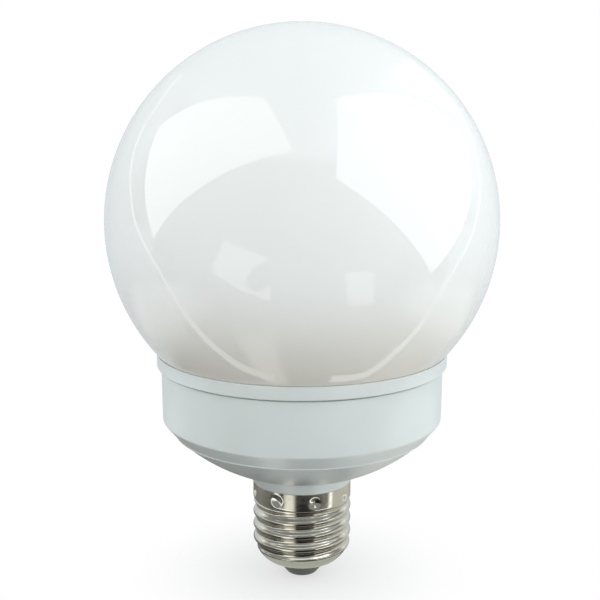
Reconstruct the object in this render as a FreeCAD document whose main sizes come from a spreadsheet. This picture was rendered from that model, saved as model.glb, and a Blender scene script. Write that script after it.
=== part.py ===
"""Opal globe lamp with a moulded housing and a rolled Edison screw cap.

Millimetres, +Z up. The origin is the lowest point of the centre contact, on
the lamp's axis. The lamp stands cap down, as it would be screwed into a
holder from above. Everything is turned about the Z axis except the rolled
thread and the ring of dents that locks the cap to the plastic neck.
"""

import FreeCAD, Part
import math
import os

import Sketcher
from FreeCAD import Vector

doc = FreeCAD.newDocument("globe_lamp")

# Driving sizes, in millimetres unless the name says degrees or count
SIZES = {
    # blown opal glass
    "globe_radius": 50.0,
    "globe_wall": 1.0,
    # moulded collar that holds the glass
    "collar_overhang": 1.1,
    "collar_height": 3.4,
    "collar_lip": 0.19,
    "collar_shelf_thickness": 1.0,
    "collar_shelf_width": 4.8,
    "cement_gap": 0.1,
    # moulded housing: band, bowl-shaped underside and neck, stacked up from the neck's rim
    "seam_gap": 0.5,
    "seam_step": 1.1,
    "band_bottom_radius": 36.6,
    "band_draft": 0.1,
    "band_height": 13.8,
    "bevel_width": 3.0,
    "bevel_rise": 3.6,
    "step_depth": 0.3,
    "bowl_curve_radius": 48.0,
    "bowl_height": 11.2,
    "neck_overhang": 0.25,
    "neck_draft": 0.5,
    "neck_height": 3.0,
    "neck_rim_height": 26.8,
    "spigot_length": 5.0,
    "spigot_fit": 0.1,
    # rolled screw shell
    "shell_wall": 0.3,
    "shell_mouth_radius": 6.7,
    "shell_bottom_height": 4.4,
    "lip_width": 1.0,
    "shoulder_height": 6.2,
    "thread_runout_height": 2.8,
    "thread_pitch": 3.629,
    "thread_crest_radius": 13.1,
    "thread_depth": 1.0,
    "thread_start_drop": 9.0,
    "skirt_relief": 0.05,
    "skirt_length": 5.2,
    "dent_count": 8,
    "dent_radius": 1.5,
    "dent_depth": 0.55,
    "dent_drop": 2.5,
    "dent_first_degrees": 15.0,
    # insulator and centre contact
    "mouth_gap": 0.2,
    "insulator_taper": 2.55,
    "insulator_cone_height": 2.85,
    "insulator_tip_round": 0.4,
    "insulator_flange_overlap": 0.9,
    "insulator_flange_thickness": 1.4,
    "contact_thickness": 0.25,
    "contact_margin": 0.95,
    "contact_shank_radius": 1.2,
    "contact_shank_length": 4.0,
}

sheet = doc.addObject("Spreadsheet::Sheet", "sizes")
for row, (alias, value) in enumerate(SIZES.items(), start=1):
    sheet.set(f"A{row}", alias)
    sheet.set(f"B{row}", str(value))
    sheet.setAlias(f"B{row}", alias)
doc.recompute()


def size(expression):
    """Value of an expression of sheet names, as a plain number."""
    return float(sheet.evalExpression(expression))


def bound(expression):
    """The same expression written for an object outside the sheet."""
    words = []
    word = ""
    for letter in expression + " ":
        if letter.isalnum() or letter == "_":
            word += letter
        else:
            words.append(f"sizes.{word}" if word in SIZES else word)
            words.append(letter)
            word = ""
    return "".join(words).strip()


def bind(item, **properties):
    """Bind properties of an object to expressions of sheet names."""
    for name, expression in properties.items():
        item.setExpression(name, bound(expression))


def plane_of(body, role):
    """Origin plane of a body, found by its role."""
    return next(o for o in body.Origin.OriginFeatures if o.Role == role)


def arc_between(start, end, radius, side):
    """Short arc from start to end, with its centre left (1) or right (-1) of the way."""
    way = end - start
    height = math.sqrt(radius ** 2 - (way.Length / 2) ** 2)
    left = Vector(-way.y, way.x, 0).normalize()
    centre = (start + end) / 2 + left * height * side
    first, last = (start, end) if side > 0 else (end, start)
    angles = [math.atan2(p.y - centre.y, p.x - centre.x) for p in (first, last)]
    if angles[1] < angles[0]:
        angles[1] += 2 * math.pi
    return Part.ArcOfCircle(Part.Circle(centre, Vector(0, 0, 1), radius), *angles)


def turned_body(name, corners):
    """Body turned about Z from a closed half section.

    Each corner is (radius, height) or (radius, height, arc radius, side): the
    last two make the edge that leaves the corner an arc.
    """
    body = doc.addObject("PartDesign::Body", name)
    body.Label = name
    sketch = body.newObject("Sketcher::SketchObject", name + "_section")
    sketch.AttachmentSupport = [(plane_of(body, "XZ_Plane"), "")]
    sketch.MapMode = "FlatFace"
    points = [Vector(size(c[0]), size(c[1]), 0) for c in corners]
    starts = []
    ends = []
    for index, corner in enumerate(corners):
        here, there = points[index], points[(index + 1) % len(points)]
        if len(corner) == 2:
            sketch.addGeometry(Part.LineSegment(here, there))
            starts.append(1)
            ends.append(2)
        else:
            side = corner[3]
            sketch.addGeometry(arc_between(here, there, size(corner[2]), side))
            starts.append(1 if side > 0 else 2)
            ends.append(2 if side > 0 else 1)
            radius = sketch.addConstraint(Sketcher.Constraint("Radius", index, size(corner[2])))
            sketch.setExpression(f"Constraints[{radius}]", bound(corner[2]))
    for index, corner in enumerate(corners):
        following = (index + 1) % len(corners)
        sketch.addConstraint(
            Sketcher.Constraint("Coincident", index, ends[index], following, starts[following]))
        for kind, place, value in (("DistanceX", corner[0], points[index].x),
                                   ("DistanceY", corner[1], points[index].y)):
            held = sketch.addConstraint(
                Sketcher.Constraint(kind, -1, 1, index, starts[index], value))
            sketch.setExpression(f"Constraints[{held}]", bound(place))
    turn = body.newObject("PartDesign::Revolution", name + "_turn")
    turn.Profile = sketch
    turn.ReferenceAxis = (sketch, ["V_Axis"])
    turn.Angle = 360
    sketch.Visibility = False
    return body


def add(kind, name, **properties):
    """Part primitive with its sizes bound to the sheet."""
    item = doc.addObject(kind, name)
    item.Label = name
    bind(item, **properties)
    return item


def height_of(item, expression):
    """Bind the height of an object above the origin."""
    item.setExpression("Placement.Base.z", bound(expression))


def boolean(kind, name, base, tool):
    """Part boolean of a base and a tool."""
    item = doc.addObject(kind, name)
    item.Label = name
    item.Base = base
    item.Tool = tool
    return item


# Heights, stacked up from the rim of the neck
NECK_TOP = "(neck_rim_height + neck_height)"
BOWL_TOP = f"({NECK_TOP} + bowl_height)"
BEVEL_LOW = f"({BOWL_TOP} + step_depth)"
BAND_LOW = f"({BEVEL_LOW} + bevel_rise)"
BAND_HIGH = f"({BAND_LOW} + band_height)"
SEAM = f"({BAND_HIGH} + seam_gap)"
SHELF = f"({SEAM} + collar_shelf_thickness)"
COLLAR_TOP = f"({SEAM} + collar_height)"
GLOBE_RIM = f"({SHELF} + cement_gap)"
DENT_HEIGHT = "(neck_rim_height - dent_drop)"
SHOULDER_TOP = "(shell_bottom_height + shoulder_height)"
THREAD_LOW = "(shell_bottom_height + thread_runout_height)"
THREAD_HIGH = "(neck_rim_height - skirt_length)"

# Radii, each from the piece that it fits
BAND_TOP_RADIUS = "(band_bottom_radius + band_draft)"
COLLAR_RADIUS = f"({BAND_TOP_RADIUS} + collar_overhang)"
BEVEL_RADIUS = "(band_bottom_radius - bevel_width)"
SEAT_RADIUS = "(globe_radius + cement_gap)"
SKIRT_RADIUS = "(thread_crest_radius - skirt_relief)"
NECK_RIM_RADIUS = f"({SKIRT_RADIUS} + neck_overhang)"
NECK_TOP_RADIUS = f"({NECK_RIM_RADIUS} + neck_draft)"
INSULATOR_RADIUS = "(shell_mouth_radius - mouth_gap)"
INSULATOR_TIP_RADIUS = f"({INSULATOR_RADIUS} - insulator_taper)"
CONTACT_RADIUS = f"({INSULATOR_TIP_RADIUS} - contact_margin)"

# The glass stands where it meets the thin lip of the collar
GLOBE_CENTRE = f"({COLLAR_TOP} + sqrt({SEAT_RADIUS} ^ 2 - ({COLLAR_RADIUS} - collar_lip) ^ 2))"


def make_globe():
    """Blown sphere with one wall, cut off square where it stands on the collar's shelf."""
    outer = add("Part::Sphere", "globe_outer", Radius="globe_radius",
                Angle1=f"asin(({GLOBE_RIM} - {GLOBE_CENTRE}) / globe_radius)")
    inner = add("Part::Sphere", "globe_inner", Radius="globe_radius - globe_wall")
    height_of(outer, GLOBE_CENTRE)
    height_of(inner, GLOBE_CENTRE)
    return boolean("Part::Cut", "globe", outer, inner)


def make_collar():
    """Ring whose thin lip follows the glass, with a shelf under the glass rim."""
    blank = add("Part::Cylinder", "collar_blank", Radius=COLLAR_RADIUS, Height="collar_height")
    height_of(blank, SEAM)
    seat = add("Part::Sphere", "collar_seat", Radius=SEAT_RADIUS,
               Angle1=f"asin(({SHELF} - {GLOBE_CENTRE}) / {SEAT_RADIUS})")
    height_of(seat, GLOBE_CENTRE)
    mouth = add("Part::Cylinder", "collar_mouth",
                Radius=f"{COLLAR_RADIUS} - collar_shelf_width", Height=COLLAR_TOP)
    seated = boolean("Part::Cut", "collar_seated", blank, seat)
    return boolean("Part::Cut", "collar_ring", seated, mouth)


def make_housing():
    """Band, bevel, bowl and neck, with a spigot that the shell's dents grip below its shoulder."""
    spigot = f"({SKIRT_RADIUS} - shell_wall - spigot_fit)"
    groove = f"({spigot} - dent_depth)"
    groove_top = f"({DENT_HEIGHT} + dent_radius + spigot_fit)"
    seam_radius = f"({BAND_TOP_RADIUS} - seam_step)"
    return turned_body("housing", [
        ("0", "neck_rim_height - spigot_length"),
        (groove, "neck_rim_height - spigot_length"),
        (groove, groove_top),
        (spigot, groove_top),
        (spigot, "neck_rim_height"),
        (NECK_RIM_RADIUS, "neck_rim_height"),
        (NECK_TOP_RADIUS, NECK_TOP),
        (f"{NECK_TOP_RADIUS} + step_depth", NECK_TOP, "bowl_curve_radius", 1),
        (f"{BEVEL_RADIUS} - step_depth", BOWL_TOP),
        (BEVEL_RADIUS, BEVEL_LOW),
        ("band_bottom_radius", BAND_LOW),
        (BAND_TOP_RADIUS, BAND_HIGH),
        (seam_radius, BAND_HIGH),
        (seam_radius, SEAM),
        ("0", SEAM),
    ])


def make_insulator():
    """Dark cone under the shell, with a flange that the shell's lip holds."""
    tip_side = "(contact_thickness + insulator_tip_round)"
    lip_top = "(shell_bottom_height + 2 * shell_wall + spigot_fit)"
    flange_top = f"({lip_top} + insulator_flange_thickness)"
    flange_radius = "(shell_mouth_radius + insulator_flange_overlap)"
    return turned_body("insulator", [
        ("contact_shank_radius", "contact_thickness"),
        (f"{INSULATOR_TIP_RADIUS} - insulator_tip_round", "contact_thickness",
         "insulator_tip_round", 1),
        (INSULATOR_TIP_RADIUS, tip_side),
        (INSULATOR_RADIUS, f"{tip_side} + insulator_cone_height"),
        (INSULATOR_RADIUS, lip_top),
        (flange_radius, lip_top),
        (flange_radius, flange_top),
        ("contact_shank_radius", flange_top),
    ])


def make_contact():
    """Plated disc with a shank that goes up through the insulator."""
    shank_top = "(contact_thickness + contact_shank_length)"
    return turned_body("centre_contact", [
        ("0", "0"),
        (f"{CONTACT_RADIUS} - contact_thickness", "0", "contact_thickness", 1),
        (CONTACT_RADIUS, "contact_thickness"),
        ("contact_shank_radius", "contact_thickness"),
        ("contact_shank_radius", shank_top),
        ("0", shank_top),
    ])


# Screw shell: one sheet rolled into a wave that climbs one pitch for each turn
COLUMNS = 24
ROWS_PER_PITCH = 8
CORNER_ROWS = 3
SHOULDER_ROWS = 6
SKIRT_ROWS = 4


def smooth(share):
    """Ease from 0 to 1."""
    share = min(max(share, 0.0), 1.0)
    return share * share * (3 - 2 * share)


def shell_rows():
    """Rows (radius, height, wave) of the shell's outer face, from its mouth to its top edge."""
    middle = size("thread_crest_radius - thread_depth / 2")
    pitch = size("thread_pitch")
    low = size(THREAD_LOW)
    high = size(THREAD_HIGH)
    mouth = size("shell_mouth_radius")
    bottom = size("shell_bottom_height")
    foot = mouth + size("lip_width")
    shoulder_top = size(SHOULDER_TOP)

    def radius_at(height):
        """Radius of the plain sheet: a quarter of an ellipse, then straight up."""
        drop = max(0.0, shoulder_top - height) / (shoulder_top - bottom)
        return foot + (middle - foot) * math.sqrt(max(0.0, 1 - drop ** 2))

    # lip turned up inside round the mouth
    rows = [(mouth, bottom + size("shell_wall"), 0)] * CORNER_ROWS
    rows += [(mouth, bottom, 0), (foot, bottom, 0)]
    # rounded shoulder up to where the thread runs out on it
    whole_turn = math.acos((shoulder_top - low) / (shoulder_top - bottom))
    for step in range(1, SHOULDER_ROWS):
        turn = whole_turn * step / SHOULDER_ROWS
        height = shoulder_top - (shoulder_top - bottom) * math.cos(turn)
        rows.append((radius_at(height), height, 0))
    # thread, fading out into the shoulder and into the skirt
    count = round((high - low) / pitch * ROWS_PER_PITCH)
    for step in range(count + 1):
        height = low + (high - low) * step / count
        fade = smooth((height - low) / (pitch / 2)) * smooth((high - height) / (pitch / 4))
        rows.append((radius_at(height), height, fade))
    # straight skirt
    skirt = size(SKIRT_RADIUS)
    top = size("neck_rim_height")
    start = high + size("skirt_length - dent_drop - dent_radius") / 2
    for step in range(SKIRT_ROWS + 1):
        rows.append((skirt, start + (top - start) * step / SKIRT_ROWS, 0))
    return rows + [(skirt, top, 0)] * (CORNER_ROWS - 1)


def wave_surface(rows, inset):
    """Closed surface through the rows, moved inwards by the inset along each row's normal."""
    pitch = size("thread_pitch")
    half_depth = size("thread_depth / 2")
    # a cubic surface runs inside its poles by these shares, so the poles are moved out
    round_pull = (2 + math.cos(2 * math.pi / COLUMNS)) / 3
    wave_pull = (2 + math.cos(2 * math.pi / ROWS_PER_PITCH)) / 3
    start = size("neck_rim_height - thread_start_drop")
    poles = []
    for column in range(COLUMNS):
        angle = 2 * math.pi * column / COLUMNS
        line = []
        for index, (radius, height, wave) in enumerate(rows):
            before = next((r for r in reversed(rows[:index]) if r != rows[index]), rows[index])
            after = next((r for r in rows[index + 1:] if r != rows[index]), rows[index])
            along = Vector(after[0] - before[0], after[1] - before[1], 0)
            along.normalize()
            phase = 2 * math.pi * (height - start) / pitch - (angle - math.pi)
            swell = wave * half_depth / wave_pull * math.cos(phase)
            out = (radius + swell - inset * along.y) / round_pull
            line.append(Vector(out * math.cos(angle), out * math.sin(angle),
                               height + inset * along.x))
        poles.append(line)
    surface = Part.BSplineSurface()
    inner_knots = len(rows) - 4
    surface.buildFromPolesMultsKnots(
        poles, [1] * (COLUMNS + 1), [4] + [1] * inner_knots + [4],
        list(range(COLUMNS + 1)), list(range(inner_knots + 2)), True, False, 3, 3)
    return surface


def rolled_sheet():
    """Solid sheet between the outer and the inner wave."""
    rows = shell_rows()
    outer = wave_surface(rows, 0).toShape()
    inner = wave_surface(rows, size("shell_wall")).toShape()
    faces = [outer, inner]
    for end in (0, 1):
        rims = [ring_edge(face, end) for face in (outer, inner)]
        faces.append(Part.makeRuledSurface(*rims))
    shell = Part.Shell(faces)
    shell.sewShape()
    solid = Part.Solid(shell)
    if solid.Volume < 0:
        solid.reverse()
    return solid


def ring_edge(face, end):
    """Lowest (0) or highest (1) closed rim of a face."""
    rims = [e for e in face.Edges if e.isClosed()]
    rims.sort(key=lambda e: e.BoundBox.Center.z)
    return rims[-end]


def make_screw_shell():
    """Rolled shell with a ring of dents punched in below its top edge."""
    sheet_metal = doc.addObject("Part::Feature", "rolled_sheet")
    sheet_metal.Shape = rolled_sheet()
    dents = []
    bosses = []
    ball = "((dent_radius ^ 2 + dent_depth ^ 2) / (2 * dent_depth))"
    out = f"({SKIRT_RADIUS} + {ball} - dent_depth)"
    for number in range(int(size("dent_count"))):
        turn = f"dent_first_degrees - 90 + 360 * {number} / dent_count"
        for list_of, name, extra in ((dents, "dent", "0"), (bosses, "boss", "shell_wall")):
            item = add("Part::Sphere", f"{name}_{number + 1}", Radius=f"{ball} + {extra}")
            item.setExpression("Placement.Base.x", bound(f"{out} * cos({turn})"))
            item.setExpression("Placement.Base.y", bound(f"{out} * sin({turn})"))
            height_of(item, DENT_HEIGHT)
            list_of.append(item)
    core = add("Part::Cylinder", "skirt_core", Radius=f"{SKIRT_RADIUS} - shell_wall / 2",
               Height="neck_rim_height")
    boss_balls = doc.addObject("Part::MultiFuse", "boss_balls")
    boss_balls.Shapes = bosses
    dent_balls = doc.addObject("Part::MultiFuse", "dent_balls")
    dent_balls.Shapes = dents
    domes = boolean("Part::Common", "dent_backs", boss_balls, core)
    backed = boolean("Part::Fuse", "backed_sheet", sheet_metal, domes)
    return boolean("Part::Cut", "screw_shell", backed, dent_balls)


parts = [make_globe(), make_collar(), make_housing(), make_screw_shell(), make_insulator(),
         make_contact()]
doc.recompute()

for item in doc.Objects:
    if "Invalid" in item.State or "Error" in item.State:
        raise RuntimeError(f"{item.Label} failed: {item.State}")

os.makedirs("parts", exist_ok=True)
for part in parts:
    if part.Shape.isNull() or not part.Shape.isValid():
        raise RuntimeError(f"{part.Label} has no valid shape")
    if len(part.Shape.Solids) != 1:
        raise RuntimeError(f"{part.Label} has {len(part.Shape.Solids)} solids")
    part.Shape.exportStep(f"parts/{part.Label}.step")
    box = part.Shape.BoundBox
    print(f"{part.Label}: {part.Shape.Volume:.1f} mm3, z {box.ZMin:.2f} to {box.ZMax:.2f}")
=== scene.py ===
"""Dresses an opal globe lamp: its glass, mouldings and rolled screw cap, and the studio round it.

Metres, in the lamp's own frame: +Z up the lamp's axis from the tip of the cap,
-Y towards the viewer.
"""

import math

import bpy
from mathutils import Euler, Matrix, Vector


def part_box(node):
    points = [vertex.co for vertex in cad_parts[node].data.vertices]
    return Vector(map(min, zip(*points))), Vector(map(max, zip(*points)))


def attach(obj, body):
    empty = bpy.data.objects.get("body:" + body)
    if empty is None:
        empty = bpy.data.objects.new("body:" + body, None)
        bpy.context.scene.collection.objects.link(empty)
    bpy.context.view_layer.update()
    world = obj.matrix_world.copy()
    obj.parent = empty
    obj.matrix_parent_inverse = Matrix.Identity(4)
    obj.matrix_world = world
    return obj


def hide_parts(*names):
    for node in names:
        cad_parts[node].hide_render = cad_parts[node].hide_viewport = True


bl_info = {
    "name": "Opal Globe Lamp",
    "version": (1, 0, 0),
    "blender": (4, 5, 0),
    "location": "View3D > Sidebar > Globe Lamp",
    "description": "Builds an opal globe lamp with a rolled screw cap, and a small studio",
    "category": "Add Mesh",
}

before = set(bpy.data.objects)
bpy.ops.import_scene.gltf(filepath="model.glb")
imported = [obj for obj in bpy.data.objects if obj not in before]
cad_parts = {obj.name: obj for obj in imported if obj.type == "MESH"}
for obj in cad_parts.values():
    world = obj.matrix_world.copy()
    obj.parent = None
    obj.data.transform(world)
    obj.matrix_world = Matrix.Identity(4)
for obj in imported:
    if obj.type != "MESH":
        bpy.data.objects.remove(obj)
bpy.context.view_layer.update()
MM = 0.001

GLOBE_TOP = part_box("globe")[1].z
GLOBE_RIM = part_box("globe")[0].z
COLLAR_LOW, COLLAR_TOP = (corner.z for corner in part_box("collar_ring"))
SHELL_LOW, SHELL_TOP = (corner.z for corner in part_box("screw_shell"))

# width of the photograph in pixels, and of the camera's sensor in millimetres
PICTURE = 600
SENSOR = 36.0

# a Mix node's colour sockets, by number, because its other sockets have the same names
FIRST, SECOND, MIXED = 6, 7, 2

# casts of the studio's lights and cards, as shares of linear red, green and blue
TOP_CAST = (0.92, 1.0, 1.0)
LAMP_CAST = (0.90, 1.0, 1.02)
BACKDROP_CAST = (0.94, 1.0, 1.05)
CEILING_CAST = (0.94, 1.0, 1.0)
SIDE_CAST = (0.95, 1.0, 1.0)
CARD_CAST = (1.0, 0.99, 0.91)


def length(name, text, default):
    """Property that holds a length."""
    return bpy.props.FloatProperty(name=name, description=text, default=default,
                                   subtype="DISTANCE", unit="LENGTH", precision=5)


def light(name, text, default):
    """Property that holds a brightness, 1 being plain white."""
    return bpy.props.FloatProperty(name=name, description=text, default=default, min=0.0)


def linear(code):
    """Linear colour of an sRGB hex value."""
    values = [int(code[start:start + 2], 16) / 255 for start in (1, 3, 5)]
    return [v / 12.92 if v <= 0.04045 else ((v + 0.055) / 1.055) ** 2.4 for v in values]


def lit(level, cast=(1.0, 1.0, 1.0)):
    """Linear colour of a brightness, with a cast."""
    return [level * share for share in cast]


def tint(name, text, code):
    """Property that holds a colour, given as sRGB hex."""
    return bpy.props.FloatVectorProperty(name=name, description=text, default=linear(code),
                                         subtype="COLOR", size=3, min=0.0, max=1.0)


class LampGlobeSizes(bpy.types.PropertyGroup):
    """Sizes and colours of the blown globe"""
    radius: length("Radius", "Outer radius of the globe", 0.050)
    wall: length("Wall", "Thickness of the glass", 0.0010)
    milk: tint("Milk", "Colour of the opal layer", "#F4F4F2")
    # painted shade: the foot colour is darker and warmer than the milk and stands in for the
    # shade where the collar keeps light out
    foot: tint("Foot", "Colour of the opal layer down in the collar", "#E2DCD2")


class LampMouldingSizes(bpy.types.PropertyGroup):
    """Sizes and colour of the collar and the housing"""
    collar_radius: length("Collar radius", "Outer radius of the collar", 0.0378)
    collar_shelf: length("Collar shelf", "Thickness of the shelf under the glass", 0.0010)
    collar_mouth: length("Collar mouth", "Radius of the hole in the collar", 0.0330)
    seam_gap: length("Seam gap", "Height of the groove under the collar", 0.0005)
    seam_step: length("Seam step", "How far the groove is set in from the band", 0.0011)
    band_top: length("Band top", "Radius of the band at the seam", 0.0367)
    band_bottom: length("Band bottom", "Radius of the band at its lower edge", 0.0366)
    band_low: length("Band foot", "Height of the band's lower edge", 0.0449)
    bevel_radius: length("Bevel radius", "Radius of the fine step line", 0.0336)
    bevel_height: length("Bevel height", "Height of the fine step line", 0.0413)
    step_depth: length("Step depth", "Depth of the fine step", 0.0003)
    bowl_curve: length("Bowl curve", "Radius of the bowl's section", 0.0480)
    neck_top: length("Neck top", "Radius of the neck under the bowl", 0.0138)
    neck_high: length("Neck height", "Height of the neck's top", 0.0298)
    neck_rim: length("Neck rim", "Radius of the neck at the screw shell", 0.0133)
    edge: length("Edge", "Radius of the moulded edges", 0.00035)
    fine_edge: length("Fine edge", "Radius of the fine step's edges", 0.00008)
    plastic: tint("Plastic", "Colour of the moulded plastic", "#D8DEDC")


class LampCapSizes(bpy.types.PropertyGroup):
    """Sizes and colours of the screw cap"""
    wall: length("Sheet", "Thickness of the rolled sheet", 0.0003)
    skirt: length("Skirt radius", "Radius of the plain skirt", 0.01305)
    skirt_length: length("Skirt length", "Height of the plain skirt", 0.0052)
    pitch: length("Pitch", "Climb of the thread in one turn", 0.003629)
    crest: length("Crest radius", "Radius over the thread's crests", 0.0131)
    root: length("Root radius", "Radius in the thread's roots", 0.0121)
    shoulder: length("Shoulder", "Height of the rounded shoulder", 0.0062)
    runout: length("Thread run-out", "Thread foot above the shell's mouth", 0.0028)
    lip: length("Lip", "Width of the flat lip round the mouth", 0.0010)
    thread_start: length("Thread start", "Height of a crest on the lamp's left side", 0.0178)
    mouth: length("Mouth radius", "Radius of the rolled-in mouth", 0.0067)
    dent_radius: length("Dent radius", "Radius of a punched dent", 0.0019)
    dent_depth: length("Dent depth", "Depth of a punched dent", 0.00055)
    dent_drop: length("Dent drop", "Dents below the shell's top edge", 0.0025)
    dent_count: bpy.props.IntProperty(name="Dents", description="Number of dents", default=8)
    dent_turn: bpy.props.FloatProperty(name="First dent", default=math.radians(-75.0),
                                       description="Angle of the first dent from +X",
                                       subtype="ANGLE")
    nickel: tint("Nickel", "Colour of the plated sheet", "#D8D6CA")
    cone_tip: length("Cone tip", "Radius of the insulator at its tip", 0.00395)
    cone_top: length("Cone top", "Radius of the insulator in the mouth", 0.0065)
    cone_height: length("Cone height", "Height of the insulator's cone", 0.00325)
    flange: length("Flange", "Height of the insulator's flange", 0.0014)
    shank: length("Shank", "Radius of the contact's shank", 0.0012)
    insulator: tint("Insulator", "Colour of the insulator", "#68726A")


class LampStudioSettings(bpy.types.PropertyGroup):
    """Camera, lamps and background"""
    distance: length("Camera distance", "Level distance from the lamp's axis", 0.280)
    camera_height: length("Camera height", "Height of the camera", 0.13152)
    aside: length("Camera aside", "How far the camera stands left of the axis", 0.00051)
    pitch: bpy.props.FloatProperty(name="Pitch", description="How far the camera looks down",
                                   default=math.radians(11.344), subtype="ANGLE")
    lens: bpy.props.FloatProperty(name="Lens", description="Focal length in millimetres",
                                  default=65.886, subtype="DISTANCE_CAMERA")
    front_fill: light("Front fill", "Even light from the camera's side", 1.28)
    back_fill: light("Back fill", "Even light from the white backdrop", 0.8)
    left_fill: light("Left fill", "Even light from the left", 1.00)
    right_fill: light("Right fill", "Even light from the right", 1.28)
    top_fill: light("Top fill", "Even light from above", 0.71)
    left_light: light("Left softbox", "Light of its panel", 0.36)
    right_light: light("Right softbox", "Light of its panel", 0.53)
    left_glow: light("Left panel in gloss", "Brightness of the mirrored left softbox", 2.3)
    right_glow: light("Right panel in gloss", "Brightness of the mirrored right softbox", 2.4)
    room_glow: light("Room in gloss", "Brightness of the room behind the camera", 0.30)
    ceiling_glow: light("Ceiling in gloss", "Brightness of the white ceiling", 1.1)
    backdrop_glow: light("Backdrop in gloss", "Brightness low behind the lamp", 0.72)
    side_glow: light("Sides in gloss", "Brightness of the pale sheets to both sides", 1.2)
    floor_glow: light("Floor in gloss", "Brightness of the cards round the cap", 1.0)
    tent_glow: light("Tent in gloss", "Brightness of the tent's white edges", 1.7)
    reflector_glow: light("Reflectors in gloss", "Brightness of the small reflectors", 1.4)


def settings(group):
    """One of the lamp's property groups in this scene."""
    return getattr(bpy.context.scene, "globe_lamp_" + group)


def globe_centre():
    """Middle of the globe's sphere."""
    return Vector((0, 0, GLOBE_TOP - settings("globe").radius))


# Materials

def add_node(tree, kind, values=None, inputs=None):
    """Add a node, set its values, and set or link its inputs."""
    made = tree.nodes.new(kind)
    for name, value in (values or {}).items():
        setattr(made, name, value)
    for name, value in (inputs or {}).items():
        socket = made.inputs[name]
        if isinstance(value, bpy.types.NodeSocket):
            tree.links.new(value, socket)
        elif socket.type == "RGBA":
            socket.default_value = (*value, 1.0)
        else:
            socket.default_value = value
    return made


def new_material(name):
    """Material with an empty node tree, and the tree."""
    made = bpy.data.materials.new(name)
    made.use_nodes = True
    made.node_tree.nodes.clear()
    return made, made.node_tree


def graded(tree, value, low, high, first, second, easing="SMOOTHSTEP"):
    """Colour that goes from the first to the second as a value goes from low to high."""
    share = add_node(tree, "ShaderNodeMapRange", {"interpolation_type": easing},
                     {"Value": value, "From Min": low, "From Max": high})
    mix = add_node(tree, "ShaderNodeMix", {"data_type": "RGBA"},
                   {"Factor": share.outputs["Result"], FIRST: first, SECOND: second})
    return mix.outputs[MIXED]


def opal_glass():
    """Flashed opal glass, blown: a clear hard gloss over a milky layer that glows a little
    inside, with slow waves left by blowing, and painted shade: a warmer, darker foot where
    the collar keeps light out."""
    look = settings("globe")
    made, tree = new_material("flashed_opal_glass")
    place = add_node(tree, "ShaderNodeTexCoord").outputs["Object"]
    height = add_node(tree, "ShaderNodeSeparateXYZ", None, {"Vector": place}).outputs["Z"]
    # the milky layer is a little uneven over about 30 mm
    cloud = add_node(tree, "ShaderNodeTexNoise", None, {
        "Vector": place, "Scale": 1 / (30 * MM), "Detail": 2.0, "Roughness": 0.4})
    milk = graded(tree, cloud.outputs["Fac"], 0.35, 0.7,
                  look.milk, [share * 0.975 for share in look.milk])
    # painted shade: over 34 mm above the rim the milk turns to the darker, warmer foot colour,
    # where the collar keeps light out
    colour = graded(tree, height, GLOBE_RIM, GLOBE_RIM + 34 * MM, look.foot, milk)
    # waves of about 22 mm bend the reflections
    waves = add_node(tree, "ShaderNodeTexNoise", None, {
        "Vector": place, "Scale": 1 / (22 * MM), "Detail": 1.0})
    bump = add_node(tree, "ShaderNodeBump", None, {
        "Height": waves.outputs["Fac"], "Strength": 0.06, "Distance": 1.2 * MM})
    shader = add_node(tree, "ShaderNodeBsdfPrincipled", None, {
        "Base Color": colour, "Roughness": 0.45, "IOR": 1.5, "Specular IOR Level": 0.15,
        "Subsurface Weight": 0.25, "Subsurface Radius": (1.0, 0.96, 0.9),
        "Subsurface Scale": 4 * MM,
        "Coat Weight": 1.0, "Coat Roughness": 0.01, "Coat IOR": 1.58,
        "Coat Normal": bump.outputs["Normal"]})
    add_node(tree, "ShaderNodeOutputMaterial", None, {"Surface": shader.outputs["BSDF"]})
    return made


def moulded_plastic():
    """Injection-moulded white PBT: satin, with the very fine spark texture of the mould and
    slightly cloudy gloss."""
    look = settings("moulding")
    made, tree = new_material("moulded_white_pbt")
    place = add_node(tree, "ShaderNodeTexCoord").outputs["Object"]
    # flow clouds of about 14 mm in colour and gloss
    flow = add_node(tree, "ShaderNodeTexNoise", None, {
        "Vector": place, "Scale": 1 / (14 * MM), "Detail": 3.0, "Roughness": 0.5})
    colour = graded(tree, flow.outputs["Fac"], 0.3, 0.7,
                    look.plastic, [share * 0.965 for share in look.plastic])
    gloss = add_node(tree, "ShaderNodeMapRange", None, {
        "Value": flow.outputs["Fac"], "From Min": 0.3, "From Max": 0.7,
        "To Min": 0.30, "To Max": 0.40})
    # the mould's grains, about 0.35 mm across
    spark = add_node(tree, "ShaderNodeTexNoise", None, {
        "Vector": place, "Scale": 1 / (0.35 * MM), "Detail": 2.0, "Roughness": 0.6})
    bump = add_node(tree, "ShaderNodeBump", None, {
        "Height": spark.outputs["Fac"], "Strength": 0.12, "Distance": 0.05 * MM})
    shader = add_node(tree, "ShaderNodeBsdfPrincipled", None, {
        "Base Color": colour, "Roughness": gloss.outputs["Result"], "IOR": 1.55,
        "Coat Weight": 1.0, "Coat Roughness": 0.34, "Coat IOR": 1.5,
        "Subsurface Weight": 0.08, "Subsurface Radius": (1.0, 0.95, 0.9),
        "Subsurface Scale": 1.2 * MM, "Normal": bump.outputs["Normal"]})
    add_node(tree, "ShaderNodeOutputMaterial", None, {"Surface": shader.outputs["BSDF"]})
    return made


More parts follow.
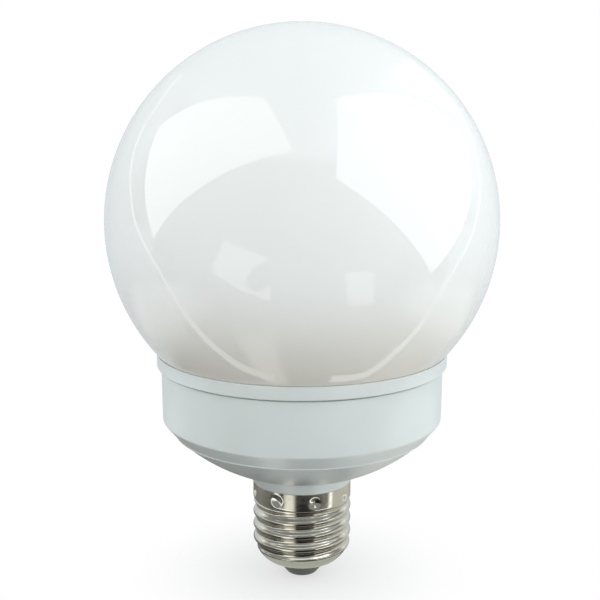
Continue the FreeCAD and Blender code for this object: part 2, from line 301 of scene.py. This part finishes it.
def nickel_plate():
    """Bright nickel plate on rolled brass: mirror-like, with fine rolling lines round the
    shell, a faint warm cast and small dull specks."""
    look = settings("cap")
    made, tree = new_material("bright_nickel_plate")
    place = add_node(tree, "ShaderNodeTexCoord").outputs["Object"]
    # rolling lines every 0.24 mm up the shell, about 17 mm long round it
    stretch = add_node(tree, "ShaderNodeMapping", None, {
        "Vector": place, "Scale": (60.0, 60.0, 4200.0)})
    lines = add_node(tree, "ShaderNodeTexNoise", None, {
        "Vector": stretch.outputs["Vector"], "Scale": 1.0, "Detail": 3.0})
    bump = add_node(tree, "ShaderNodeBump", None, {
        "Height": lines.outputs["Fac"], "Strength": 0.10, "Distance": 0.02 * MM})
    # dull specks of about 1.1 mm
    specks = add_node(tree, "ShaderNodeTexNoise", None, {
        "Vector": place, "Scale": 1 / (1.1 * MM), "Detail": 4.0, "Roughness": 0.65})
    colour = graded(tree, specks.outputs["Fac"], 0.58, 0.8, look.nickel, linear("#B9B2A6"))
    rough = add_node(tree, "ShaderNodeMapRange", None, {
        "Value": specks.outputs["Fac"], "From Min": 0.3, "From Max": 0.8,
        "To Min": 0.09, "To Max": 0.24})
    shader = add_node(tree, "ShaderNodeBsdfPrincipled", None, {
        "Base Color": colour, "Metallic": 1.0, "Roughness": rough.outputs["Result"],
        "Normal": bump.outputs["Normal"]})
    add_node(tree, "ShaderNodeOutputMaterial", None, {"Surface": shader.outputs["BSDF"]})
    return made


def dark_insulator():
    """Vitrified dark insulator: dense grey-green, half matt, with pale mineral specks."""
    look = settings("cap")
    made, tree = new_material("vitrified_insulator")
    place = add_node(tree, "ShaderNodeTexCoord").outputs["Object"]
    # mineral specks of about 0.5 mm
    specks = add_node(tree, "ShaderNodeTexNoise", None, {
        "Vector": place, "Scale": 1 / (0.5 * MM), "Detail": 4.0, "Roughness": 0.7})
    colour = graded(tree, specks.outputs["Fac"], 0.55, 0.75,
                    look.insulator, [share * 1.35 for share in look.insulator])
    bump = add_node(tree, "ShaderNodeBump", None, {
        "Height": specks.outputs["Fac"], "Strength": 0.2, "Distance": 0.06 * MM})
    shader = add_node(tree, "ShaderNodeBsdfPrincipled", None, {
        "Base Color": colour, "Roughness": 0.42, "IOR": 1.52,
        "Normal": bump.outputs["Normal"]})
    add_node(tree, "ShaderNodeOutputMaterial", None, {"Surface": shader.outputs["BSDF"]})
    return made


# Modelling

def start_piece(name):
    """Deselect everything and add a plane whose mesh becomes the new piece."""
    bpy.ops.object.select_all(action="DESELECT")
    bpy.ops.mesh.primitive_plane_add(size=MM)
    piece = bpy.context.object
    piece.name = name
    return piece


def draw_line(points):
    """In edit mode, merge the plane into one point and extrude it from point to point."""
    bpy.ops.mesh.select_all(action="SELECT")
    bpy.ops.mesh.merge(type="CENTER")
    bpy.ops.transform.translate(value=points[0])
    for here, there in zip(points, points[1:]):
        bpy.ops.mesh.extrude_region_move(
            TRANSFORM_OT_translate={"value": Vector(there) - Vector(here)})


def turned(name, section, steps, crease=30.0):
    """Piece turned about the lamp's axis from a section of (radius, height) points, smooth
    but for edges sharper than the crease, in degrees."""
    piece = start_piece(name)
    bpy.ops.object.mode_set(mode="EDIT")
    draw_line([(radius, 0, height) for radius, height in section])
    bpy.ops.mesh.select_all(action="SELECT")
    bpy.ops.mesh.spin(steps=steps, angle=2 * math.pi, center=(0, 0, 0), axis=(0, 0, 1))
    bpy.ops.mesh.select_all(action="SELECT")
    bpy.ops.mesh.remove_doubles(threshold=0.002 * MM)
    bpy.ops.mesh.normals_make_consistent(inside=False)
    bpy.ops.object.mode_set(mode="OBJECT")
    bpy.ops.object.shade_smooth_by_angle(angle=math.radians(crease))
    return piece


def rounded(points, radius, steps=4):
    """Section with each inner corner rounded by a curve of about the radius."""
    side_share, smallest = 0.45, 0.02 * MM
    made = [points[0]]
    for before, corner, after in zip(points, points[1:], points[2:]):
        here = Vector(corner)
        back, on = Vector(before) - here, Vector(after) - here
        reach = min(radius, back.length * side_share, on.length * side_share)
        if reach < smallest:
            made.append(corner)
            continue
        first, last = here + back.normalized() * reach, here + on.normalized() * reach
        for step in range(steps + 1):
            along = step / steps
            near, far = first.lerp(here, along), here.lerp(last, along)
            made.append(tuple(near.lerp(far, along)))
    return made + [points[-1]]


def eased(share):
    """Ease from 0 to 1."""
    share = min(max(share, 0.0), 1.0)
    return share * share * (3 - 2 * share)


def arc_to(start, end, radius, bulge, steps=12):
    """Points after start along an arc to end, which bulges to the left (1) or right (-1)."""
    way = Vector(end) - Vector(start)
    half = way.length / 2
    rise = math.sqrt(radius ** 2 - half ** 2)
    left = Vector((-way.y, way.x)).normalized()
    centre = (Vector(start) + Vector(end)) / 2 - left * rise * bulge
    from_angle = math.atan2(start[1] - centre.y, start[0] - centre.x)
    sweep = 2 * math.asin(half / radius) * -bulge
    return [(centre.x + radius * math.cos(from_angle + sweep * step / steps),
             centre.y + radius * math.sin(from_angle + sweep * step / steps))
            for step in range(1, steps + 1)]


def finish_piece(piece, material, node):
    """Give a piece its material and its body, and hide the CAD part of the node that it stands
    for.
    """
    piece.data.materials.clear()
    piece.data.materials.append(material)
    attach(piece, "root")
    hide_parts(node)


class LampAddGlobe(bpy.types.Operator):
    """Blow the opal globe: a sphere cut off in the collar, with a real wall"""
    bl_idname = "globe_lamp.add_globe"
    bl_label = "Globe"

    def execute(self, context):
        look = settings("globe")
        bpy.ops.object.select_all(action="DESELECT")
        bpy.ops.mesh.primitive_uv_sphere_add(segments=160, ring_count=96, radius=look.radius,
                                             location=globe_centre())
        piece = context.object
        piece.name = "opal_globe"
        bpy.ops.object.transform_apply(location=True, rotation=True, scale=True)
        bpy.ops.object.mode_set(mode="EDIT")
        bpy.ops.mesh.select_all(action="SELECT")
        bpy.ops.mesh.bisect(plane_co=(0, 0, GLOBE_RIM), plane_no=(0, 0, 1), clear_inner=True)
        bpy.ops.object.mode_set(mode="OBJECT")
        wall = piece.modifiers.new("wall", "SOLIDIFY")
        wall.thickness = look.wall
        wall.offset = -1.0
        bpy.ops.object.modifier_apply(modifier=wall.name)
        bpy.ops.object.shade_smooth_by_angle(angle=math.radians(40))
        finish_piece(piece, opal_glass(), "globe")
        return {"FINISHED"}


class LampAddMouldings(bpy.types.Operator):
    """Mould the collar and the housing"""
    bl_idname = "globe_lamp.add_mouldings"
    bl_label = "Collar and housing"

    def execute(self, context):
        plastic = moulded_plastic()
        self.add_collar(plastic)
        self.add_housing(plastic)
        return {"FINISHED"}

    def add_collar(self, plastic):
        """Ring with a thin lip on the glass and a shelf under the glass rim."""
        look = settings("moulding")
        shelf = COLLAR_LOW + look.collar_shelf
        # the lip all but touches the glass
        seat = settings("globe").radius + 0.02 * MM
        rows = 8
        inner = []
        for row in range(rows + 1):
            height = COLLAR_TOP + (shelf - COLLAR_TOP) * row / rows
            inner.append((math.sqrt(seat ** 2 - (height - globe_centre().z) ** 2), height))
        outer = rounded([(look.collar_mouth, COLLAR_LOW), (look.collar_radius, COLLAR_LOW),
                         (look.collar_radius, COLLAR_TOP), inner[0]], look.edge)
        section = outer + inner[1:] + [(look.collar_mouth, shelf),
                                       (look.collar_mouth, COLLAR_LOW)]
        piece = turned("moulded_collar", section, 192)
        finish_piece(piece, plastic, "collar_ring")

    def add_housing(self, plastic):
        """Band, bevel, fine step, bowl and neck, closed inside the collar and the shell."""
        look, cap = settings("moulding"), settings("cap")
        seam = COLLAR_LOW - look.seam_gap
        groove = look.band_top - look.seam_step
        # a spigot fills the top of the skirt, and a narrower plug goes on below it
        spigot, spigot_low = cap.skirt - cap.wall - 0.1 * MM, SHELL_TOP - 0.9 * MM
        plug, plug_top = cap.root - 0.2 * MM, SHELL_TOP - 1.2 * MM
        plug_low = SHELL_TOP - 5 * MM
        bowl_end = (look.bevel_radius - look.step_depth, look.bevel_height - look.step_depth)
        bowl_start = (look.neck_top + look.step_depth, look.neck_high)
        bowl = arc_to(bowl_start, bowl_end, look.bowl_curve, -1)
        bevel_middle = ((look.bevel_radius + look.band_bottom) / 2,
                        (look.bevel_height + look.band_low) / 2)
        step = rounded([bowl[-2], bowl_end, (look.bevel_radius, bowl_end[1]),
                        (look.bevel_radius, look.bevel_height), bevel_middle], look.fine_edge)
        lower = rounded([(0.0, plug_low), (plug, plug_low), (plug, plug_top),
                         (spigot, spigot_low), (spigot, SHELL_TOP),
                         (look.neck_rim, SHELL_TOP), (look.neck_top, look.neck_high),
                         bowl_start], look.edge)
        upper = rounded([bevel_middle, (look.band_bottom, look.band_low), (look.band_top, seam),
                         (groove, seam), (groove, COLLAR_LOW), (0.0, COLLAR_LOW)], look.edge)
        section = lower + bowl[:-2] + step + upper[1:]
        piece = turned("moulded_housing", section, 192, crease=24.0)
        finish_piece(piece, plastic, "housing")


class LampAddCap(bpy.types.Operator):
    """Roll the screw shell and set the insulator and the contact in it"""
    bl_idname = "globe_lamp.add_cap"
    bl_label = "Screw cap"

    def execute(self, context):
        nickel = nickel_plate()
        self.add_shell(nickel)
        self.add_insulator()
        self.add_contact(nickel)
        return {"FINISHED"}

    def wave(self, offset):
        """Thread profile from crest (1) to root (-1), a pair of equal arcs for each pitch."""
        look = settings("cap")
        quarter = look.pitch / 4
        half_depth = (look.crest - look.root) / 2
        arc = (quarter ** 2 + half_depth ** 2) / (2 * half_depth)
        offset = abs((offset + look.pitch / 2) % look.pitch - look.pitch / 2)
        near = offset if offset < quarter else look.pitch / 2 - offset
        rise = 1 - (arc - math.sqrt(arc ** 2 - near ** 2)) / half_depth
        return rise if offset < quarter else -rise

    def plain_radius(self, height):
        """Radius of the plain sheet: a quarter of an ellipse, then straight up."""
        look = settings("cap")
        middle = (look.crest + look.root) / 2
        foot = look.mouth + look.lip
        drop = max(0.0, SHELL_LOW + look.shoulder - height) / look.shoulder
        return foot + (middle - foot) * math.sqrt(max(0.0, 1 - drop ** 2))

    def shell_section(self):
        """Outer line of the plain shell, from its turned-up mouth to its top edge."""
        look = settings("cap")
        foot = look.mouth + look.lip
        foot_rows, rows_per_pitch, skirt_rows, easing_rows = 8, 20, 30, 5
        section = rounded([(look.mouth, SHELL_LOW + 1.5 * look.wall), (look.mouth, SHELL_LOW),
                           (foot, SHELL_LOW)], 1.2 * look.wall)
        for row in range(1, foot_rows + 1):
            height = SHELL_LOW + look.runout * (row / foot_rows) ** 2
            section.append((self.plain_radius(height), height))
        low, high = SHELL_LOW + look.runout, SHELL_TOP - look.skirt_length
        thread_rows = round((high - low) / look.pitch * rows_per_pitch)
        for row in range(1, thread_rows + 1):
            height = low + (high - low) * row / thread_rows
            section.append((self.plain_radius(height), height))
        radius = section[-1][0]
        for row in range(1, skirt_rows + 1):
            radius += (look.skirt - radius) * min(1.0, row / easing_rows)
            section.append((radius, high + (SHELL_TOP - high) * row / skirt_rows))
        return section

    def add_shell(self, nickel):
        """Turn the sheet, roll the thread into it, punch the dents and give it its wall."""
        look = settings("cap")
        piece = turned("rolled_screw_shell", self.shell_section(), 240, crease=50.0)
        low, high = SHELL_LOW + look.runout, SHELL_TOP - look.skirt_length
        half_depth = (look.crest - look.root) / 2
        dent_height = SHELL_TOP - look.dent_drop
        turns = [look.dent_turn + 2 * math.pi * number / look.dent_count
                 for number in range(look.dent_count)]
        for vertex in piece.data.vertices:
            place = vertex.co
            radius = math.hypot(place.x, place.y)
            angle = math.atan2(place.y, place.x)
            out = Vector((place.x, place.y, 0)) / radius
            if low < place.z < high:
                fade = eased((place.z - low) / (look.pitch / 2))
                fade *= eased((high - place.z) / (look.pitch / 4))
                climb = (angle - math.pi) / (2 * math.pi) * look.pitch
                vertex.co += out * (half_depth * fade * self.wave(
                    place.z - look.thread_start - climb))
            elif place.z > high:
                for turn in turns:
                    aside = (angle - turn + math.pi) % (2 * math.pi) - math.pi
                    reach = math.hypot(aside * radius, place.z - dent_height) / look.dent_radius
                    vertex.co -= out * (look.dent_depth * eased(1 - reach))
        bpy.ops.object.select_all(action="DESELECT")
        piece.select_set(True)
        bpy.context.view_layer.objects.active = piece
        wall = piece.modifiers.new("wall", "SOLIDIFY")
        wall.thickness = look.wall
        wall.offset = -1.0
        bpy.ops.object.modifier_apply(modifier=wall.name)
        finish_piece(piece, nickel, "screw_shell")

    def add_insulator(self):
        """Dark cone, with its flange inside the shell's mouth."""
        look = settings("cap")
        low, high = (corner.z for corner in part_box("insulator"))
        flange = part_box("insulator")[1].x
        section = rounded([(look.shank, high), (look.shank, low), (look.cone_tip, low),
                           (look.cone_top, low + look.cone_height),
                           (look.cone_top, high - look.flange), (flange, high - look.flange),
                           (flange, high), (look.shank, high)], 0.5 * MM, steps=6)
        piece = turned("insulator_cone", section, 96)
        finish_piece(piece, dark_insulator(), "insulator")

    def add_contact(self, nickel):
        """Plated disc with a rounded edge and its shank."""
        look = settings("cap")
        low, high = (corner.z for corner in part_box("centre_contact"))
        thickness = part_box("insulator")[0].z - low
        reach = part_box("centre_contact")[1].x
        section = rounded([(0.0, low), (reach, low), (reach, low + thickness),
                           (look.shank, low + thickness), (look.shank, high), (0.0, high)],
                          0.2 * MM, steps=5)
        piece = turned("contact_disc", section, 64)
        finish_piece(piece, nickel, "centre_contact")


class LampAddStudio(bpy.types.Operator):
    """Set the floor, the fill, the two softboxes, the room that gloss mirrors and the camera"""
    bl_idname = "globe_lamp.add_studio"
    bl_label = "Studio"

    def execute(self, context):
        look = settings("studio")
        context.scene.view_settings.view_transform = "Standard"
        self.add_world(context)
        self.add_floor()
        self.add_room()
        self.add_tent_edges()
        self.add_panels()
        self.add_side_flag()
        self.add_back_flag()
        # centre of each softbox, and the ways from it to the middles of its side and its top
        self.add_softbox(context, "softbox_left", look.left_light, (-0.373, -0.096, 0.554),
                         (0.206, -0.252, 0.273), (-0.110, 0.182, 0.229))
        self.add_softbox(context, "softbox_right", look.right_light, (0.422, -0.196, 0.474),
                         (-0.140, -0.317, 0.357), (-0.019, 0.283, 0.237))
        self.add_camera(context)
        return {"FINISHED"}

    def mirrored(self, across, down):
        """Where the globe shows a position in the photograph, and the way on from it."""
        look = settings("studio")
        scale = look.lens / SENSOR * PICTURE
        centre = globe_centre()
        eye = Vector((-look.aside, -look.distance, look.camera_height))
        way = Vector(((across - PICTURE / 2) / scale, 1, (PICTURE / 2 - down) / scale))
        way.rotate(Euler((-look.pitch, 0, 0)))
        way.normalize()
        near = way.dot(centre - eye)
        inside = settings("globe").radius ** 2 - (centre - eye).length_squared + near ** 2
        hit = eye + way * (near - math.sqrt(inside))
        return hit, way.reflect((hit - centre).normalized())

    def add_world(self, context):
        """Even fill light with a strength for each side, seen as plain white."""
        look = settings("studio")
        world = bpy.data.worlds.new("white_room")
        world.use_nodes = True
        tree = world.node_tree
        tree.nodes.clear()
        path = add_node(tree, "ShaderNodeLightPath").outputs
        direct = add_node(tree, "ShaderNodeMath", {"operation": "MAXIMUM"},
                          {0: path["Is Camera Ray"], 1: path["Is Glossy Ray"]})
        seen = add_node(tree, "ShaderNodeMath", {"operation": "MAXIMUM"},
                        {0: direct.outputs[0], 1: path["Is Transmission Ray"]})
        place = add_node(tree, "ShaderNodeTexCoord").outputs["Generated"]
        way = add_node(tree, "ShaderNodeSeparateXYZ", None, {"Vector": place}).outputs
        sideways = add_node(tree, "ShaderNodeMath", {"operation": "MULTIPLY"},
                            {0: way["X"], 1: way["X"]})
        depth = graded(tree, way["Y"], -0.3, 0.3, lit(look.front_fill), lit(look.back_fill))
        sides = graded(tree, way["X"], -0.3, 0.3, lit(look.left_fill), lit(look.right_fill))
        level = add_node(tree, "ShaderNodeMix", {"data_type": "RGBA"},
                         {"Factor": sideways.outputs[0], FIRST: depth, SECOND: sides})
        fill = graded(tree, way["Z"], 0.25, 0.75, level.outputs[MIXED],
                      lit(look.top_fill, TOP_CAST))
        tone = add_node(tree, "ShaderNodeMix", {"data_type": "RGBA"},
                        {"Factor": seen.outputs[0], FIRST: fill, SECOND: lit(1.0)})
        glow = add_node(tree, "ShaderNodeBackground", None,
                        {"Color": tone.outputs[MIXED], "Strength": 1.0})
        add_node(tree, "ShaderNodeOutputWorld", None, {"Surface": glow.outputs["Background"]})
        context.scene.world = world

    def add_floor(self):
        """Pale floor under the tip: it keeps the shadow and turns plain white further out.
        Gloss mirrors it as a dim table with small light and dark cards round the cap."""
        bpy.ops.object.select_all(action="DESELECT")
        bpy.ops.mesh.primitive_circle_add(vertices=96, radius=3.0, fill_type="NGON")
        floor = bpy.context.object
        floor.name = "floor"
        made, tree = new_material("pale_floor")
        path = add_node(tree, "ShaderNodeLightPath").outputs
        place = add_node(tree, "ShaderNodeTexCoord").outputs["Object"]
        spot = add_node(tree, "ShaderNodeSeparateXYZ", None, {"Vector": place}).outputs
        away = add_node(tree, "ShaderNodeVectorMath", {"operation": "LENGTH"},
                        {0: place}).outputs["Value"]
        # what the floor throws up at the housing: grey on the left and white on the right,
        # both darker from 25 to 60 mm away, and a pale floor from 150 mm on
        inner = graded(tree, spot["X"], -10 * MM, 35 * MM, linear("#6C6C6C"), linear("#FFFFFF"))
        outer = graded(tree, spot["X"], -10 * MM, 35 * MM, linear("#484848"), linear("#C8C8C8"))
        near = graded(tree, away, 25 * MM, 60 * MM, inner, outer)
        bounce = graded(tree, away, 60 * MM, 150 * MM, near, linear("#F2F2F2"))
        tone = add_node(tree, "ShaderNodeMix", {"data_type": "RGBA"}, {
            "Factor": path["Is Camera Ray"], FIRST: bounce, SECOND: linear("#F7F7F7")})
        paper = add_node(tree, "ShaderNodeBsdfDiffuse", None, {"Color": tone.outputs[MIXED]})
        # the camera sees the paper turn plain white from 6 to 50 mm away
        far = add_node(tree, "ShaderNodeMapRange", {"interpolation_type": "SMOOTHSTEP"}, {
            "Value": away, "From Min": 6 * MM, "From Max": 50 * MM,
            "To Min": 0.6, "To Max": 1.0})
        faded = add_node(tree, "ShaderNodeMath", {"operation": "MULTIPLY"},
                         {0: far.outputs["Result"], 1: path["Is Camera Ray"]})
        white = add_node(tree, "ShaderNodeEmission", None, {"Color": lit(1.0), "Strength": 1.0})
        seen = add_node(tree, "ShaderNodeMixShader", None, {
            0: faded.outputs[0], 1: paper.outputs["BSDF"], 2: white.outputs["Emission"]})
        cards = add_node(tree, "ShaderNodeEmission", None, {
            "Color": self.mirrored_floor(tree, spot, away), "Strength": 1.0})
        mix = add_node(tree, "ShaderNodeMixShader", None, {
            0: path["Is Glossy Ray"], 1: seen.outputs["Shader"], 2: cards.outputs["Emission"]})
        add_node(tree, "ShaderNodeOutputMaterial", None, {"Surface": mix.outputs["Shader"]})
        floor.data.materials.append(made)

    def mirrored_floor(self, tree, spot, away):
        """Brightness of the floor as gloss sees it: cards by their angle round the cap, dark
        close under it, and further out a dim table in front, the pale sweep behind and a
        pale sheet on each side."""
        look = settings("studio")
        front = add_node(tree, "ShaderNodeMath", {"operation": "MULTIPLY"},
                         {0: spot["Y"], 1: -1.0})
        angle = add_node(tree, "ShaderNodeMath", {"operation": "ARCTAN2"},
                         {0: spot["X"], 1: front.outputs[0]})
        turn = add_node(tree, "ShaderNodeMapRange", None, {
            "Value": angle.outputs[0], "From Min": -math.pi, "From Max": math.pi})
        cards = add_node(tree, "ShaderNodeValToRGB", None, {"Fac": turn.outputs["Result"]})
        # degrees round the cap from the camera's side, and brightness there
        stops = ((-180, 0.2), (-105, 0.26), (-60, 0.09), (-42, 0.05), (-35, 1.1), (-20, 1.1),
                 (-12, 0.015), (8, 0.015), (40, 0.14), (55, 0.2), (72, 0.6), (120, 0.66),
                 (180, 0.2))
        points = cards.color_ramp.elements
        points.remove(points[1])
        for degrees, level in stops:
            share = degrees / 360 + 0.5
            point = points.new(share) if share > 0 else points[0]
            point.color = (*lit(look.floor_glow * level, CARD_CAST), 1.0)
        under = graded(tree, away, 12 * MM, 18 * MM,
                       lit(look.floor_glow, (0.52, 0.54, 0.50)),
                       lit(look.floor_glow, (0.03, 0.03, 0.025)))
        near = graded(tree, away, 19 * MM, 25 * MM, under, cards.outputs["Color"])
        table = graded(tree, spot["Y"], -32 * MM, -22 * MM,
                       lit(look.room_glow), lit(look.backdrop_glow, BACKDROP_CAST))
        aside = add_node(tree, "ShaderNodeMath", {"operation": "ABSOLUTE"},
                         {0: spot["X"]}).outputs[0]
        deep = add_node(tree, "ShaderNodeMath", {"operation": "ABSOLUTE"},
                        {0: spot["Y"]}).outputs[0]
        sheet = graded(tree, aside, 90 * MM, 140 * MM, table, lit(look.side_glow, SIDE_CAST))
        sheet = graded(tree, deep, 60 * MM, 130 * MM, sheet, table)
        sheet = graded(tree, aside, 190 * MM, 260 * MM, sheet, table)
        return graded(tree, away, 75 * MM, 110 * MM, near, sheet)

    def glowing(self, name, level):
        """Material that glows evenly, for a card."""
        made, tree = new_material(name)
        glow = add_node(tree, "ShaderNodeEmission", None, {"Color": lit(level), "Strength": 1.0})
        add_node(tree, "ShaderNodeOutputMaterial", None, {"Surface": glow.outputs["Emission"]})
        return made

    def make_card(self, card, material):
        """Dress a mesh as a card that only gloss can see."""
        card.data.materials.append(material)
        for kind in ("camera", "diffuse", "transmission", "volume_scatter", "shadow"):
            setattr(card, "visible_" + kind, False)

    def add_room(self):
        """Dome that gloss mirrors: a dim room in front, a white ceiling, a pale backdrop."""
        look = settings("studio")
        radius = 2.0
        bpy.ops.object.select_all(action="DESELECT")
        bpy.ops.mesh.primitive_uv_sphere_add(segments=64, ring_count=48, radius=radius)
        dome = bpy.context.object
        dome.name = "mirrored_room"
        made, tree = new_material("mirrored_room")
        place = add_node(tree, "ShaderNodeTexCoord").outputs["Object"]
        spot = add_node(tree, "ShaderNodeSeparateXYZ", None, {"Vector": place}).outputs
        ceiling = lit(look.ceiling_glow, CEILING_CAST)
        front = graded(tree, spot["Z"], 0.64 * radius, 0.72 * radius,
                       lit(look.room_glow), ceiling)
        back = graded(tree, spot["Z"], 0.1 * radius, 0.8 * radius,
                      lit(look.backdrop_glow, BACKDROP_CAST), ceiling, "LINEAR")
        colour = graded(tree, spot["Y"], 0.2 * radius, 0.45 * radius, front, back)
        glow = add_node(tree, "ShaderNodeEmission", None, {"Color": colour, "Strength": 1.0})
        add_node(tree, "ShaderNodeOutputMaterial", None, {"Surface": glow.outputs["Emission"]})
        self.make_card(dome, made)

    def add_tent_edges(self):
        """White edges of the tent round the lamp, which the glass mirrors as two thin arcs
        through these positions in the photograph."""
        left = ((275, 378), (245, 369), (220, 352), (197, 329), (175, 298), (160, 271),
                (146, 247), (135, 222), (131, 195), (131, 168), (136, 145), (145, 125),
                (160, 102), (182, 74))
        right = ((330, 379), (365, 375), (395, 352), (415, 332), (432, 306), (446, 283),
                 (459, 262), (470, 240), (477, 217), (480, 190), (478, 163), (471, 137),
                 (461, 115), (442, 90))
        reach, lowest, thickness = 300 * MM, 2 * MM, 4 * MM
        for name, arc in (("tent_edge_left", left), ("tent_edge_right", right)):
            points = []
            for across, down in arc:
                hit, way = self.mirrored(across, down)
                # an edge that would pass through the floor stands just above it
                above_floor = (lowest - hit.z) / way.z if way.z < 0 else reach
                points.append(hit + way * min(reach, above_floor))
            start_piece(name)
            bpy.ops.object.mode_set(mode="EDIT")
            draw_line(points)
            bpy.ops.object.mode_set(mode="OBJECT")
            bpy.ops.object.convert(target="CURVE")
            bpy.context.object.data.bevel_depth = thickness
            bpy.ops.object.convert(target="MESH")
            edge = bpy.context.object
            self.make_card(edge, self.glowing(name, settings("studio").tent_glow))

    def add_panels(self):
        """Cards that the glass mirrors: the softboxes' panels, small pale reflectors low in
        front, the left one with a round bite, and a streak above the right softbox. Their
        corners are positions in the photograph."""
        look = settings("studio")
        close, distant = 60 * MM, 1.0
        panels = (
            ("reflector_left", close, look.reflector_glow,
             ((224, 240), (269, 258), (256, 267), (247, 275), (246, 284), (253, 291),
              (262, 292), (270, 285), (271, 301), (240, 290), (211, 271))),
            ("reflector_right", close, look.reflector_glow,
             ((345, 272), (373, 272), (374, 304), (348, 306))),
            ("streak", distant, look.reflector_glow,
             ((377, 88), (411, 60), (436, 84), (462, 120), (440, 106), (415, 94))),
            ("softbox_left_panel", close, look.left_glow,
             ((160, 126), (264, 98), (293, 151), (154, 239))),
            ("softbox_right_panel", close, look.right_glow,
             ((336, 99), (461, 132), (470, 180), (431, 274), (399, 216), (336, 179))))
        for name, reach, level, corners in panels:
            rays = [self.mirrored(*corner) for corner in corners]
            card = self.add_sheet(name, [hit + way * reach for hit, way in rays])
            self.make_card(card, self.glowing(name, level))

    def add_sheet(self, name, points):
        """Flat card with its corners at the points."""
        card = start_piece(name)
        bpy.ops.object.mode_set(mode="EDIT")
        draw_line(points)
        bpy.ops.mesh.select_all(action="SELECT")
        bpy.ops.mesh.edge_face_add()
        bpy.ops.object.mode_set(mode="OBJECT")
        return card

    def add_side_flag(self):
        """Dim flag that stands edge-on to the camera: seen from a side, the globe's outline
        mirrors it and not the softbox of the other side."""
        middle = globe_centre()
        points = [middle]
        for degrees in range(-10, 66, 15):
            turn = math.radians(degrees)
            points.append(middle + Vector((0, -math.cos(turn), math.sin(turn))) * 240 * MM)
        flag = self.add_sheet("side_flag", points)
        self.make_card(flag, self.glowing("side_flag", settings("studio").room_glow))

    def add_back_flag(self):
        """Dim flag across the globe's middle, clear from the camera's side: seen from behind,
        the globe's outline mirrors it and not the softboxes in front."""
        bpy.ops.object.select_all(action="DESELECT")
        bpy.ops.mesh.primitive_circle_add(vertices=96, radius=90 * MM, fill_type="NGON",
                                          location=globe_centre(),
                                          rotation=(-math.pi / 2, 0, 0))
        flag = bpy.context.object
        flag.name = "back_flag"
        bpy.ops.object.transform_apply(location=True, rotation=True, scale=True)
        made, tree = new_material("back_flag")
        face = add_node(tree, "ShaderNodeNewGeometry")
        glow = add_node(tree, "ShaderNodeEmission", None, {
            "Color": lit(settings("studio").room_glow), "Strength": 1.0})
        clear = add_node(tree, "ShaderNodeBsdfTransparent")
        mix = add_node(tree, "ShaderNodeMixShader", None, {
            0: face.outputs["Backfacing"], 1: glow.outputs["Emission"],
            2: clear.outputs["BSDF"]})
        add_node(tree, "ShaderNodeOutputMaterial", None, {"Surface": mix.outputs["Shader"]})
        self.make_card(flag, made)

    def add_softbox(self, context, name, level, centre, to_side, to_top):
        """Rectangular softbox that faces the globe. It lights, and its panel is what gloss
        mirrors."""
        wide, high = Vector(to_side), Vector(to_top)
        across = wide.normalized()
        up = (high - across * high.dot(across)).normalized()
        back = across.cross(up)
        if back.dot(globe_centre() - Vector(centre)) > 0:
            across, back = -across, -back
        turn = Matrix([(across[row], up[row], back[row]) for row in range(3)])
        lamp = bpy.data.lights.new(name, "AREA")
        lamp.shape = "RECTANGLE"
        lamp.size, lamp.size_y = wide.length * 2, high.length * 2
        lamp.energy = level * math.pi * lamp.size * lamp.size_y
        lamp.color = LAMP_CAST
        box = bpy.data.objects.new(name, lamp)
        context.scene.collection.objects.link(box)
        box.matrix_world = Matrix.Translation(centre) @ turn.to_4x4()
        box.visible_camera = False
        box.visible_glossy = False

    def add_camera(self, context):
        """Camera at the photograph's distance, height and pitch."""
        look = settings("studio")
        lens = bpy.data.cameras.new("camera")
        lens.lens = look.lens
        lens.sensor_width = SENSOR
        lens.clip_start, lens.clip_end = 0.01, 20.0
        camera = bpy.data.objects.new("camera", lens)
        context.scene.collection.objects.link(camera)
        camera.location = (-look.aside, -look.distance, look.camera_height)
        camera.rotation_euler = Euler((math.pi / 2 - look.pitch, 0, 0))
        context.scene.camera = camera


class LampPanel(bpy.types.Panel):
    """Buttons and settings of the globe lamp"""
    bl_idname = "VIEW3D_PT_globe_lamp"
    bl_label = "Globe Lamp"
    bl_space_type = "VIEW_3D"
    bl_region_type = "UI"
    bl_category = "Globe Lamp"

    def draw(self, context):
        for operator in OPERATORS:
            self.layout.operator(operator.bl_idname)
        for group in GROUPS:
            box = self.layout.box()
            box.label(text=group.capitalize())
            for name in GROUPS[group].__annotations__:
                box.prop(settings(group), name)


GROUPS = {"globe": LampGlobeSizes, "moulding": LampMouldingSizes, "cap": LampCapSizes,
          "studio": LampStudioSettings}
OPERATORS = (LampAddGlobe, LampAddMouldings, LampAddCap, LampAddStudio)


def register():
    for group, kind in GROUPS.items():
        bpy.utils.register_class(kind)
        setattr(bpy.types.Scene, "globe_lamp_" + group, bpy.props.PointerProperty(type=kind))
    for kind in (*OPERATORS, LampPanel):
        bpy.utils.register_class(kind)


def unregister():
    for kind in (LampPanel, *reversed(OPERATORS)):
        bpy.utils.unregister_class(kind)
    for group, kind in GROUPS.items():
        delattr(bpy.types.Scene, "globe_lamp_" + group)
        bpy.utils.unregister_class(kind)


def main():
    """Build everything."""
    register()
    bpy.ops.globe_lamp.add_globe()
    bpy.ops.globe_lamp.add_mouldings()
    bpy.ops.globe_lamp.add_cap()
    bpy.ops.globe_lamp.add_studio()


if __name__ == "__main__":
    main()
